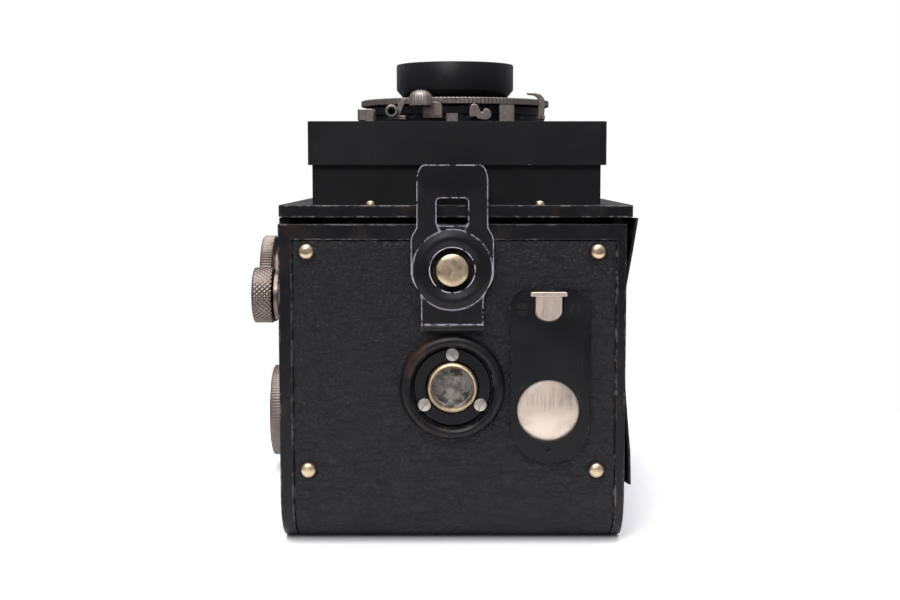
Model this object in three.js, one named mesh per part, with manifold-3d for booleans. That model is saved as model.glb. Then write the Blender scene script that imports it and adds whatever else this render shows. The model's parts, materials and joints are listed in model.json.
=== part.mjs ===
// A twin lens reflex camera for 6 x 6 cm pictures on roll film, lying on its back with the lenses up.
// Millimetres. +X is to the right as seen from the camera's base, +Y runs from the base to the finder
// hood, and +Z runs from the back to the lenses. The origin is on the outer face of the back, level with
// the taking lens, on the centre plane of the tripod bush.
import * as THREE from "three";
import { mergeVertices } from "three/addons/utils/BufferGeometryUtils.js";
import Module from "manifold-3d";

const wasm = await Module();
wasm.setup();

// ---- Driving dimensions ----
const HALF_WIDTH = 38.85; // body, over the side leathers
const BASE_Y = -45; // outer face of the base
const TOP_Y = 72; // the deck that the finder hood stands on
const GAP = 0.3; // between neighbouring pieces
const GLUE = 0.05; // between a skin and what it is stuck to

const SHELL = 2.2; // door wall
const CORNER_R = 12; // where the base turns into the back
const DOOR_TOP_Z = 72.95;
const LEATHER = 0.5;
const LEATHER_X = [-35.5, 36.4];
const LEATHER_TOP_Z = 69.1;
const LEATHER_END_Y = 60;
const DOOR_HINGE = [68, 2.5]; // y, z
const DOOR_PLATE_END_Y = 67;
const HINGE_NOTCH = { y: 61.2, x: 35.6 }; // where the door narrows to pass between the side walls

const WALL_X = [36, 38.2]; // side wall, inner and outer face
const WALL_TOP_Z = 74.1;
const PLATE_Z = [74.4, 77.1]; // front plate
const PLATE_RIGHT = 40.4; // it stands proud of the body on the right
const LENS_X = 0.65; // both lens axes lie a little to the right of the tripod bush
const BOX = { x: [-32, 33.9], y: [-35, 66], z: [72.3, 87.9], wall: 1.2 }; // fixed inner light box
const PANEL = { x: [-33, 35.2], y: [-36.5, 67.5], z: [86, 95.9], top: 1.5 }; // sliding lens panel

const VIEW_Y = 42; // viewing lens axis; the taking lens axis is at y = 0
const FILM_Z = 8.7;
const GATE = 28.2; // half of the film gate
const CONE = { z: [10.2, 70], small: 14.5, wall: 1 }; // dark chamber behind the taking lens
const MIRROR_CENTRE = [VIEW_Y, 38]; // y, z
const SCREEN_Z = [8.8, 67.2];

const FEED = [-30.3, 55.8]; // y, z of the full film roll
const FOCUS = [1, 57.2]; // y, z of the focusing shaft
const WIND = [43, 16]; // y, z of the take-up spool
const PIN_END_X = 31.9; // the pull knob's pin ends just outside the spool's flange
const ROLLER = { at: [-36.5, 13], radius: 3.2 };

const GEAR = { module: 0.6, teeth: 10, backlash: 0.12, pressure: Math.PI / 9 };
const PINION_R = (GEAR.module * GEAR.teeth) / 2;
const PINION_X = [-29, -24.5];

const TRIPOD_Z = 36.4;
const BUTTON_Z = 62.8;
const FOOT = { x: 32.45, z: [66.85, 17.5], radius: 1.78 };
const WINDOW = { x: 21.5, z: 31.1, hole: 7, slide: 7.6 };
const WINDOW_PLATE = { x: [13.1, 30.7], z: [19.5, 57.6] };
const WINDOW_TRAVEL = 13.5;
const LATCH_HINGE = { out: 1, z: 49.9, radius: 0.95 };

const HOOD = { x: 31, z: [7, 70], y: [72.3, 84.5], wall: 1 };
const WING_PIVOT = { x: 29.3, y: 78 };
const PANEL_PIVOT_Z = 8.7;
const LEAF = 0.7; // hood leaf thickness
const LID_HINGE = [85.6, 71.3]; // y, z

// ---- Finishes ----
const finish = (color, roughness, metalness) =>
  new THREE.MeshStandardMaterial({ color, roughness, metalness });
const ENAMEL = [0x0c0c0e, 0.35, 0];
const SATIN = [0x101012, 0.5, 0];
const HIDE = [0x151417, 0.7, 0];
const NICKEL = [0xb9b2a0, 0.3, 1];
const WARM_NICKEL = [0xc4b79a, 0.35, 1];
const GLASS = [0xdfe8ee, 0.05, 0];

// ---- Shape helpers ----
// A closed geometry as a manifold-3d solid, with shared vertices merged and collapsed faces dropped.
function solidOf(geometry) {
  const bare = new THREE.BufferGeometry();
  bare.setAttribute("position", geometry.getAttribute("position"));
  bare.setIndex(geometry.index);
  const merged = mergeVertices(bare, 1e-4);
  const corners = merged.index.array;
  const kept = [];
  for (let i = 0; i < corners.length; i += 3) {
    const [a, b, c] = corners.subarray(i, i + 3);
    if (a !== b && b !== c && c !== a) kept.push(a, b, c);
  }
  return new wasm.Manifold(
    new wasm.Mesh({
      numProp: 3,
      vertProperties: merged.attributes.position.array,
      triVerts: new Uint32Array(kept),
    }),
  );
}

function geometryOf(solid) {
  const data = solid.getMesh();
  const geometry = new THREE.BufferGeometry();
  geometry.setAttribute("position", new THREE.BufferAttribute(data.vertProperties, 3));
  geometry.setIndex(new THREE.BufferAttribute(data.triVerts, 1));
  geometry.computeVertexNormals();
  return geometry;
}

const join = (...pieces) => geometryOf(pieces.map(solidOf).reduce((a, b) => a.add(b)));
const cut = (piece, ...tools) =>
  geometryOf(tools.map(solidOf).reduce((a, b) => a.subtract(b), solidOf(piece)));

// A box between two values on each axis.
function block([x0, x1], [y0, y1], [z0, z1]) {
  const geometry = new THREE.BoxGeometry(x1 - x0, y1 - y0, z1 - z0);
  return geometry.translate((x0 + x1) / 2, (y0 + y1) / 2, (z0 + z1) / 2);
}

// Turns geometry made along +Y so that it runs along another axis.
const TURN = {
  X: (g) => g.rotateZ(-Math.PI / 2),
  Y: (g) => g,
  Z: (g) => g.rotateX(Math.PI / 2),
  OUT: (g) => g.rotateX(Math.PI), // out of the base, towards -Y
};

// Puts what was turned where its axis runs: the other two coordinates, and the start along the axis.
const PLACE = {
  X: (g, [y, z]) => g.translate(0, y, z),
  Y: (g, [x, z]) => g.translate(x, 0, z),
  Z: (g, [x, y]) => g.translate(x, y, 0),
  OUT: (g, [x, z]) => g.translate(x, BASE_Y, z),
};

// A body of revolution. The profile is a closed outline of [radius, distance along the axis].
function turned(axis, centre, profile, sides = 24) {
  const area = profile.reduce((sum, [r, t], i) => {
    const [r2, t2] = profile[(i + 1) % profile.length];
    return sum + r * t2 - r2 * t;
  }, 0);
  const ordered = area > 0 ? profile : [...profile].reverse();
  const closed = ordered.every(([r]) => r > 0) ? [...ordered, ordered[0]] : ordered;
  const points = closed.map(([r, t]) => new THREE.Vector2(r, t));
  return PLACE[axis](TURN[axis](new THREE.LatheGeometry(points, sides)), centre);
}

// A plain round bar, and a ring or sleeve.
const rod = (axis, centre, radius, [from, to], sides = 24) =>
  turned(axis, centre, [[0, from], [radius, from], [radius, to], [0, to]], sides);
const sleeve = (axis, centre, [inner, outer], [from, to], sides = 24) =>
  turned(axis, centre, [[inner, from], [outer, from], [outer, to], [inner, to]], sides);

// A flat outline given a thickness: on the base (x, z), outwards; across the camera (y, z); or flat (x, y).
const extrude = (shape, depth) =>
  new THREE.ExtrudeGeometry(shape, { depth, bevelEnabled: false, curveSegments: 4 });
const onBase = (shape, [from, to]) =>
  extrude(shape, to - from).rotateX(Math.PI / 2).translate(0, BASE_Y - from, 0);
const flat = (shape, [from, to]) => extrude(shape, to - from).translate(0, 0, from);
function across(shape, [from, to]) {
  const [x, y, z] = [[1, 0, 0], [0, 1, 0], [0, 0, 1]].map((v) => new THREE.Vector3(...v));
  const turn = new THREE.Matrix4().makeBasis(y, z, x);
  return extrude(shape, to - from).applyMatrix4(turn).translate(from, 0, 0);
}

const outline = (points) => new THREE.Shape(points.map(([a, b]) => new THREE.Vector2(a, b)));

function roundedRectangle([x0, x1], [y0, y1], [bottomR, topR]) {
  const shape = new THREE.Shape();
  shape.absarc(x1 - bottomR, y0 + bottomR, bottomR, -Math.PI / 2, 0);
  shape.absarc(x1 - topR, y1 - topR, topR, 0, Math.PI / 2);
  shape.absarc(x0 + topR, y1 - topR, topR, Math.PI / 2, Math.PI);
  shape.absarc(x0 + bottomR, y0 + bottomR, bottomR, Math.PI, 1.5 * Math.PI);
  return shape;
}

// A square tube that tapers between two heights, given its inner half sizes.
function funnel([z0, z1], [wide, narrow], wall) {
  const frustum = (big, small, low, high) => {
    const side = Math.SQRT2;
    const geometry = new THREE.CylinderGeometry(small * side, big * side, high - low, 4);
    return geometry.rotateY(Math.PI / 4).rotateX(Math.PI / 2).translate(0, 0, (low + high) / 2);
  };
  const slope = (wide - narrow) / (z1 - z0);
  return cut(
    frustum(wide + wall, narrow + wall, z0, z1),
    frustum(wide + slope, narrow - slope, z0 - 1, z1 + 1),
  );
}

// ---- The parts ----
const camera = new THREE.Group();
const lensGroup = new THREE.Group(); // everything that is centred on the lens axes
lensGroup.position.x = LENS_X;
camera.add(lensGroup);

function add(name, geometry, look, group = camera) {
  const mesh = new THREE.Mesh(geometry, finish(...look));
  mesh.name = name;
  group.add(mesh);
}

// The bent wall of the door between two depths below its outer face: base, corner and back.
function bentWall([x0, x1], [outer, inner], topZ, endY) {
  const shape = new THREE.Shape();
  const centre = [BASE_Y + CORNER_R, CORNER_R];
  shape.moveTo(endY, outer);
  shape.lineTo(endY, inner);
  shape.absarc(...centre, CORNER_R - inner, 1.5 * Math.PI, Math.PI, true);
  shape.lineTo(BASE_Y + inner, topZ);
  shape.lineTo(BASE_Y + outer, topZ);
  shape.absarc(...centre, CORNER_R - outer, Math.PI, 1.5 * Math.PI, false);
  return across(shape, [x0, x1]);
}

function sideWall(side) {
  const inset = SHELL + GAP;
  const shape = new THREE.Shape();
  shape.moveTo(69.2, 0.3);
  shape.lineTo(69.2, WALL_TOP_Z);
  shape.lineTo(BASE_Y + inset, WALL_TOP_Z);
  shape.absarc(BASE_Y + CORNER_R, CORNER_R, CORNER_R - inset, Math.PI, 1.5 * Math.PI);
  shape.lineTo(HINGE_NOTCH.y + GAP, inset);
  shape.lineTo(HINGE_NOTCH.y + GAP, 0.3);
  const plate = across(shape, WALL_X);
  const through = WALL_X.map((v, i) => v + (i ? 1 : -1));
  const holes = [
    rod("X", DOOR_HINGE, 1.2, through, 16),
    rod("X", ROLLER.at, 1.6, [WALL_X[0] - 1, WALL_X[0] + 1.4], 16),
  ];
  if (side < 0) {
    holes.push(rod("X", FEED, 2.4, through, 20), rod("X", FOCUS, 2.4, through, 20));
    holes.push(rod("X", WIND, 3.4, through, 20));
    return cut(plate, ...holes).scale(-1, 1, 1);
  }
  holes.push(rod("X", WIND, 2.3, through, 20));
  const pin = rod("X", FEED, 2.2, [31.2, WALL_X[0] + 1], 20);
  return join(cut(plate, ...holes), pin);
}

// A mirrored geometry has its faces turned back out.
function mirrored(geometry) {
  const plain = geometry.index ? geometry.toNonIndexed() : geometry;
  const p = plain.attributes.position.array;
  for (let i = 0; i < p.length; i += 9)
    for (let k = 0; k < 3; k++) [p[i + 3 + k], p[i + 6 + k]] = [p[i + 6 + k], p[i + 3 + k]];
  return plain;
}

// The side leathers: the right one has come unstuck along its lower edge and curls outwards.
const LEATHER_SIDE = { y: [-42.2, 68.8], z: [13.5, 74.2], thick: 0.55 };
function sideLeather(curl) {
  const { y, z, thick } = LEATHER_SIDE;
  const [ly, lz] = [y[1] - y[0], z[1] - z[0]];
  const geometry = new THREE.BoxGeometry(thick, ly, lz, 1, curl ? 12 : 1, curl ? 8 : 1);
  geometry.translate(WALL_X[1] + GLUE + thick / 2, (y[0] + y[1]) / 2, (z[0] + z[1]) / 2);
  if (!curl) return geometry;
  const points = geometry.attributes.position;
  for (let i = 0; i < points.count; i++) {
    const reach = Math.max(0, 1 - (points.getY(i) - y[0]) / 11);
    const height = points.getZ(i);
    const top = 2.9 * Math.max(0, (height - 57) / 17.2) ** 0.9;
    const low = 1.9 * Math.min(1, Math.max(0, (43 - height) / 24)) ** 1.2;
    points.setX(i, points.getX(i) + (top + low) * reach ** 2);
  }
  return geometry;
}

function bodyParts() {
  add("side_wall_left", mirrored(sideWall(-1)), SATIN);
  add("side_wall_right", sideWall(1), SATIN);
  const knobs = [[FEED, 5.9], [FOCUS, 7.9], [WIND, 8.4]];
  const leftHoles = knobs.map(([at, radius]) => rod("X", at, radius, [37, 41]));
  add("side_leather_left", mirrored(cut(sideLeather(false), ...leftHoles).scale(-1, 1, 1)), HIDE);
  add("side_leather_right", cut(sideLeather(true), rod("X", WIND, 4.9, [37, 41])), HIDE);

  const plate = flat(roundedRectangle([-HALF_WIDTH, PLATE_RIGHT], [BASE_Y, TOP_Y], [2.5, 2.5]), PLATE_Z);
  const opening = block([BOX.x[0] - 0.4, BOX.x[1] + 0.4], [BOX.y[0] - 0.4, BOX.y[1] + 0.4], [70, 80]);
  add("front_plate", cut(plate, opening), ENAMEL);

  const { x, y, z, wall } = BOX;
  const hollow = block([x[0] + wall, x[1] - wall], [y[0] + wall, y[1] - wall], [z[0] - 1, z[1] + 1]);
  add("inner_light_box", cut(block(x, y, z), hollow), SATIN);

  const shelf = block([-35.7, 35.7], [-42, 20.8], [70.4, 72]);
  const divider = block([-30.5, 32.4], [19.8, 20.8], [62.5, 87.6]);
  const lightWay = block([-15.6, 15.6], [-15.6, 15.6], [69, 73]);
  const rackWay = block([-30.2, -23.3], [2.6, 9.4], [69, 73]);
  add("bulkhead", join(cut(shelf, lightWay, rackWay), divider), SATIN);

  add("dark_chamber", funnel(CONE.z, [GATE, CONE.small], CONE.wall), SATIN);
  const gatePlate = block([-35.6, 35.6], [-33.6, 30.8], [FILM_Z + 0.2, FILM_Z + 1.2]);
  add("film_gate", cut(gatePlate, block([-GATE, GATE], [-GATE, GATE], [0, 20])), [0x0d0d0d, 0.4, 0.5]);

  add("mirror", tilted(54, 60, 1.5, -0.75), [0xe8edf0, 0.03, 1]);
  add("mirror_bracket", tilted(56, 62, 0.8, -2.2), SATIN);

  const deck = block([-WALL_X[1], WALL_X[1]], [69.5, TOP_Y], [5, WALL_TOP_Z]);
  const well = block([-29.6, 29.6], [69, 73], [SCREEN_Z[0] - GAP, SCREEN_Z[1] + GAP]);
  add("top_plate", cut(deck, well), SATIN);
  add("focusing_screen", block([-29.3, 29.3], [70, 71.5], SCREEN_Z), [0xe9efe9, 0.4, 0]);

  add("feed_knob_bush", sleeve("X", FEED, [2.4, 5.6], [-41.3, -WALL_X[1] - GLUE]), NICKEL);
  add("door_hinge_pin", rod("X", DOOR_HINGE, 0.9, [-37.9, 37.9], 12), NICKEL);
  const journals = rod("X", ROLLER.at, 1.3, [-37, 37], 16);
  add("film_roller", join(rod("X", ROLLER.at, ROLLER.radius, [-31, 31], 20), journals), NICKEL);
}

// A sheet square to the bisector of the two directions of view, a stated way in front of the mirror plane.
function tilted(width, length, thickness, ahead) {
  const geometry = new THREE.BoxGeometry(width, length, thickness).translate(0, 0, ahead);
  return geometry.rotateX(-Math.PI / 4).translate(0, ...MIRROR_CENTRE);
}

// The focusing rack hangs from the lens panel and its teeth point at the pinion, towards -Y.
function rack() {
  const pitchY = FOCUS[0] + PINION_R;
  const step = Math.PI * GEAR.module;
  const [tip, root] = [-0.35, 0.75];
  const half = (out) => step / 4 - GEAR.backlash / 2 + out * Math.tan(GEAR.pressure);
  const points = [[pitchY + 4, 52], [pitchY + 4, PANEL.z[1] - PANEL.top - GLUE]];
  points.push([pitchY + root, PANEL.z[1] - PANEL.top - GLUE]);
  for (let k = 5; k >= -2; k--) {
    const z = FOCUS[1] + k * step;
    points.push([pitchY + root, z + half(root)], [pitchY + tip, z + half(tip)]);
    points.push([pitchY + tip, z - half(tip)], [pitchY + root, z - half(root)]);
  }
  points.push([pitchY + root, 52]);
  return across(outline(points), PINION_X);
}

// An involute pinion with a tooth space facing the rack.
function pinion() {
  const base = PINION_R * Math.cos(GEAR.pressure);
  const outer = PINION_R + 0.9 * GEAR.module;
  const root = PINION_R - 1.25 * GEAR.module;
  const involute = (r) => Math.tan(Math.acos(base / r)) - Math.acos(base / r);
  const atPitch = Math.PI / (2 * GEAR.teeth) - GEAR.backlash / (2 * PINION_R);
  const half = (r) => atPitch + involute(PINION_R) - involute(r);
  const flank = [[root, half(base)], ...[base, (base + outer) / 2, outer].map((r) => [r, half(r)])];
  const points = [];
  for (let k = 0; k < GEAR.teeth; k++) {
    const middle = ((k + 0.5) * 2 * Math.PI) / GEAR.teeth;
    const sides = [...flank.map(([r, a]) => [r, -a]), ...[...flank].reverse()];
    sides.forEach(([r, a]) => points.push([r * Math.cos(middle + a), r * Math.sin(middle + a)]));
  }
  return across(outline(points), PINION_X).translate(0, ...FOCUS);
}

function lensParts() {
  const { x, y, z, top } = PANEL;
  const hollow = block([BOX.x[0] - GAP, BOX.x[1] + GAP], [BOX.y[0] - GAP, BOX.y[1] + GAP],
    [z[0] - 1, z[1] - top]);
  const holes = [rod("Z", [LENS_X, 0], 14, [90, 100]), rod("Z", [LENS_X, VIEW_Y], 12.9, [90, 100])];
  add("lens_panel", cut(flat(roundedRectangle(x, y, [2, 2]), z), hollow, ...holes), SATIN);
  add("focus_rack", rack(), NICKEL);

  const stub = block([-23.8, -19], [-11.5, -7.5], [96.8, 99.7]);
  const drum = sleeve("Z", [0, 0], [12.2, 22.5], [95.95, 100.25], 36);
  add("shutter_housing", join(drum, stub), ENAMEL, lensGroup);
  add("speed_ring", sleeve("Z", [0, 0], [15, 23.6], [100.4, 102], 36), NICKEL, lensGroup);
  const rim = [[10.6, 96.6], [11.6, 96.6], [11.6, 102.3], [12.6, 102.3], [14.65, 104.8], [14.65, 111]];
  const inside = [[12.3, 111], [12.3, 106.8], [10.6, 106.2]];
  add("taking_lens_ring", turned("Z", [0, 0], [...rim, ...inside], 36), ENAMEL, lensGroup);
  add("front_lens_element", lens([0, 0], 10.3, [102.6, 105.8], 1.3), GLASS, lensGroup);
  add("rear_lens_cell", sleeve("Z", [0, 0], [10.9, 12.6], [84.5, 94.3]), ENAMEL, lensGroup);
  add("rear_lens_element", lens([0, 0], 10.6, [85.6, 88.2], 0.9), GLASS, lensGroup);
  const barrel = [[11.6, 88], [12.5, 88], [12.5, 96], [14.2, 96], [14.2, 104.8], [12.7, 104.8], [12.7, 96]];
  add("viewing_lens_barrel", turned("Z", [0, VIEW_Y], [...barrel, [11.6, 95.2]]), ENAMEL, lensGroup);
  add("viewing_lens_element", lens([0, VIEW_Y], 12.4, [96.8, 101], 1.6), GLASS, lensGroup);

  const bracket = block([-15.4, -11.6], [-24.4, -20.6], [96.6, 97.6]);
  const socket = sleeve("Y", [-14.8, 98.5], [0.8, 1.5], [-28.2, -24.2], 16);
  const arm = block([-15.6, -14.0], [-24.4, -19.2], [96.6, 97.6]);
  const thread = rod("Y", [-14.8, 98.5], 0.8, [-30, -26]);
  add("cable_release_socket", join(cut(join(socket, arm), thread), bracket), NICKEL, lensGroup);
  const boot = [[3.2, 96.8], [8.6, 96.8], [8.6, 98.6], [6.4, 99], [5.6, 100.3], [3.2, 100.3]];
  const index = extrude(outline(boot), 0.9).rotateX(Math.PI / 2).translate(0, -23.6, 0);
  add("index_plate", index, NICKEL, lensGroup);

  const plate = block([-7.5, -3], [-26.2, -25.2], [96.9, 100.7]);
  const foot = block([-7.5, -3], [-26.2, -22.8], [96.9, 97.9]);
  const cap = turned("Z", [-8, -27.6], [[0, 99.6], [2.7, 99.6], [2.7, 102.3], [1.6, 103.2], [0, 103.4]], 24);
  add("aperture_lever", join(plate, foot, cap), NICKEL, lensGroup);
  const blade = [[19.5, 96.7], [21.2, 96.7], [21.2, 101.6], [20.4, 102.5], [16.9, 103],
    [17, 102.4], [19.5, 101.4]];
  const post = block([19.5, 21.2], [-23.2, -18.6], [96.7, 97.7]);
  const lever = extrude(outline(blade), 0.8).rotateX(Math.PI / 2).translate(0, -22.4, 0);
  add("release_lever", join(lever, post), NICKEL, lensGroup);
}

// A biconvex glass on the Z axis at (x, y), given its edge radius, its two poles and the bulge of each face.
function lens(centre, radius, [low, high], bulge) {
  const face = (pole, way) =>
    [0, 0.35, 0.7, 1].map((t) => [radius * t, pole + way * bulge * t * t]);
  return turned("Z", centre, [...face(low, 1), ...face(high, -1).reverse()]);
}

// A turned knob on the left side: profile distances are measured outwards from the camera's middle.
const leftKnob = (at, profile, sides) =>
  turned("X", at, profile.map(([r, t]) => [r, -t]), sides);

function knobParts() {
  add("feed_spool_knob", leftKnob(FEED, [[0, 30.5], [2, 30.5], [2, 41.5], [6.3, 41.5], [6.55, 41.8],
    [6.55, 45.9], [6.2, 46.15], [0, 46.15]]), NICKEL);
  add("focus_knob", leftKnob(FOCUS, [[0, 39.3], [7.4, 39.3], [7.4, 44.7], [11, 44.7], [11, 47.8],
    [9.6, 48], [0, 47.6]], 32), NICKEL);
  add("focus_pinion_shaft", join(rod("X", FOCUS, 2, [-39.2, PINION_X[1] - 1], 20), pinion()), NICKEL);
  add("winding_knob", leftKnob(WIND, [[0, 39.3], [8, 39.3], [8, 43.5], [12.7, 43.5], [13, 43.8],
    [13, 50.7], [12.6, 51.1], [0, 51.1]], 32), NICKEL);
  const key = block([-33, -29.6], [WIND[0] - 2.6, WIND[0] + 2.6], [WIND[1] - 0.7, WIND[1] + 0.7]);
  add("winding_shaft", join(rod("X", WIND, 3, [-39.2, -32.6], 20), key), NICKEL);
  const core = rod("X", WIND, 4.4, [-31.2, 31.2], 24);
  const flanges = [-1, 1].map((s) => rod("X", WIND, 11.3, [31 * s - 0.5, 31 * s + 0.5], 32));
  const ends = [-1, 1].map((s) => rod("X", WIND, 3.1, s < 0 ? [-35, -28] : [28, 35], 20));
  add("takeup_spool", cut(join(core, ...flanges), ...ends), [0x17110d, 0.5, 0.3]);
  add("takeup_spool_knob", turned("X", WIND, [[0, PIN_END_X], [1.9, PIN_END_X], [1.9, 39.3], [4.4, 39.3],
    [4.5, 40.5], [4.1, 40.8], [0, 40.8]], 24), NICKEL);
}

function doorParts() {
  const shell = bentWall([-HALF_WIDTH, HALF_WIDTH], [0, SHELL], DOOR_TOP_Z, DOOR_PLATE_END_Y);
  const recess = bentWall(LEATHER_X.map((v, i) => v + (i ? GAP : -GAP)), [-1, LEATHER + GLUE],
    LEATHER_TOP_Z + GAP, LEATHER_END_Y + GAP);
  const notches = [-1, 1].map((s) =>
    block(s < 0 ? [-50, -HINGE_NOTCH.x] : [HINGE_NOTCH.x, 50], [HINGE_NOTCH.y, 80], [-5, 10]));
  const tabs = [-1, 1].map((s) => block(s < 0 ? [-36, -30] : [30, 36], [65.2, 80], [-5, 10]));
  const barrel = rod("X", DOOR_HINGE, 2.2, [-30, 30], 24);
  const holes = [
    rod("X", DOOR_HINGE, 1.2, [-40, 40], 16),
    rod("OUT", [0, TRIPOD_Z], 5.95, [-5, 5]),
    rod("OUT", [WINDOW.x, WINDOW.z], 6.1, [-5, 5]),
  ];
  add("door_shell", cut(join(cut(shell, recess, ...notches, ...tabs), barrel), ...holes), ENAMEL);
  const hide = bentWall(LEATHER_X, [0, LEATHER], LEATHER_TOP_Z, LEATHER_END_Y);
  const cutOuts = [
    rod("OUT", [0, TRIPOD_Z], 8.9, [-5, 5]),
    rod("OUT", [WINDOW.x, WINDOW.z], 6.5, [-5, 5]),
  ];
  add("door_leather", cut(hide, ...cutOuts), HIDE);

  const bead = [[9.1, GLUE], [9.1, 1.6], [9.9, 2.2], [10.9, 2.2], [11.85, 1.3], [11.85, GLUE]];
  add("tripod_ring", turned("OUT", [0, TRIPOD_Z], bead, 40), ENAMEL);
  add("tripod_plate", sleeve("OUT", [0, TRIPOD_Z], [5.95, 8.7], [-0.4, 0.6]), ENAMEL);
  const bush = [[0, -4.6], [5.65, -4.6], [5.65, 1.3], [5.1, 1.9], [4.6, 1.9], [4.5, 1.6],
    [4.5, -3.9], [0, -3.9]];
  add("tripod_bush", turned("OUT", [0, TRIPOD_Z], bush), WARM_NICKEL);

  const dome = [[0, GLUE], [FOOT.radius, GLUE], [FOOT.radius, 0.7], [1.4, 1.25], [0.8, 1.5], [0, 1.5]];
  [["upper", FOOT.z[0]], ["lower", FOOT.z[1]]].forEach(([row, z]) =>
    [["left", -FOOT.x], ["right", FOOT.x]].forEach(([side, x]) =>
      add(`foot_${row}_${side}`, turned("OUT", [x, z], dome, 20), WARM_NICKEL)));

  add("window_plate", windowPlate(), ENAMEL);
  add("red_window", rod("OUT", [WINDOW.x, WINDOW.z], 5.8, [-1.9, -1.1]), [0x8c1410, 0.1, 0]);
  add("window_slide", windowSlide(), NICKEL);
  const pressure = block([-31, 31], [-30.5, 30], [6.9, 8.1]);
  const legs = [-1, 1].flatMap((sx) =>
    [-1, 1].map((sy) => rod("Z", [18 * sx, 18 * sy], 1.5, [SHELL + GLUE, 7.5], 12)));
  add("pressure_plate", join(pressure, ...legs), SATIN);
  add("latch", latch(), ENAMEL);
  const press = [[0, 1.5], [3.65, 1.5], [3.65, 2.2], [3.2, 2.45], [0, 2.6]];
  add("latch_button", turned("OUT", [0, BUTTON_Z], press, 32), WARM_NICKEL);
}

// The plate over the film window: a round hole, a notch for the slide's tab, and a channel beneath.
function windowPlate() {
  const { x, z, hole, slide } = WINDOW;
  const bottomR = (WINDOW_PLATE.x[1] - WINDOW_PLATE.x[0]) / 2 - 0.6;
  const body = onBase(roundedRectangle(WINDOW_PLATE.x, WINDOW_PLATE.z, [bottomR, 3]), [GLUE, 1.2]);
  const channel = roundedRectangle([x - slide - GAP, x + slide + GAP],
    [z - slide - GAP, z + slide + WINDOW_TRAVEL + GAP], [slide, slide]);
  return cut(
    body,
    onBase(channel, [-1, 0.6]),
    onBase(outline([[x - 3.3, 50], [x + 3.3, 50], [x + 3.3, 60], [x - 3.3, 60]]), [-1, 0.6]),
    onBase(roundedRectangle([x - 3.3, x + 3.3], [51.2, 64], [3, 1]), [-1, 3]),
    rod("OUT", [x, z], hole, [-2, 3]),
  );
}

// The slide: a disc that covers the window, a strip, and a tab with two ears for the thumbnail.
function windowSlide() {
  const { x, z, slide } = WINDOW;
  const strip = outline([[x - 3, z + 4], [x + 3, z + 4], [x + 3, 57.4], [x - 3, 57.4]]);
  const tab = roundedRectangle([x - 3, x + 3], [51.5, 57.6], [2.7, 0.4]);
  const ears = roundedRectangle([x - 4.1, x + 4.1], [56.9, 57.9], [0.3, 0.3]);
  return join(
    rod("OUT", [x, z], slide, [0.1, 0.5]),
    onBase(strip, [0.1, 0.5]),
    onBase(tab, [0.1, 1.4]),
    onBase(ears, [1.25, 1.6]),
  );
}

// The door latch: a tongue with a window reaches over the front plate, above a boss for the button.
function latch() {
  const shape = new THREE.Shape();
  const [neck, boss, tongue, tip] = [6.9, 9.2, 7.9, 6.9];
  shape.moveTo(neck, LATCH_HINGE.z);
  shape.lineTo(neck, 56.7);
  shape.quadraticCurveTo(boss, 58.6, boss, 61.6);
  shape.lineTo(boss, 69.4);
  shape.quadraticCurveTo(boss, 71.4, tongue, 71.9);
  shape.lineTo(tongue, 83.5);
  shape.quadraticCurveTo(tongue, 86.05, tip - 1, 86.05);
  shape.lineTo(1 - tip, 86.05);
  shape.quadraticCurveTo(-tongue, 86.05, -tongue, 83.5);
  shape.lineTo(-tongue, 71.9);
  shape.quadraticCurveTo(-boss, 71.4, -boss, 69.4);
  shape.lineTo(-boss, 61.6);
  shape.quadraticCurveTo(-boss, 58.6, -neck, 56.7);
  shape.lineTo(-neck, LATCH_HINGE.z);
  const raised = turned("OUT", [0, BUTTON_Z], [[0, 1], [8.4, 1], [7.6, 2.5], [0, 2.5]]);
  const knuckle = turned("X", [BASE_Y - LATCH_HINGE.out, LATCH_HINGE.z],
    [[0, -6.9], [LATCH_HINGE.radius, -6.9], [LATCH_HINGE.radius, 6.9], [0, 6.9]], 16);
  return cut(
    join(onBase(shape, [0.3, 1.7]), raised, knuckle),
    rod("OUT", [0, BUTTON_Z], 5, [-1, 4]),
    onBase(roundedRectangle([-3.5, 3.5], [72.6, 79.3], [0.6, 0.6]), [-1, 4]),
  );
}

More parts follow.
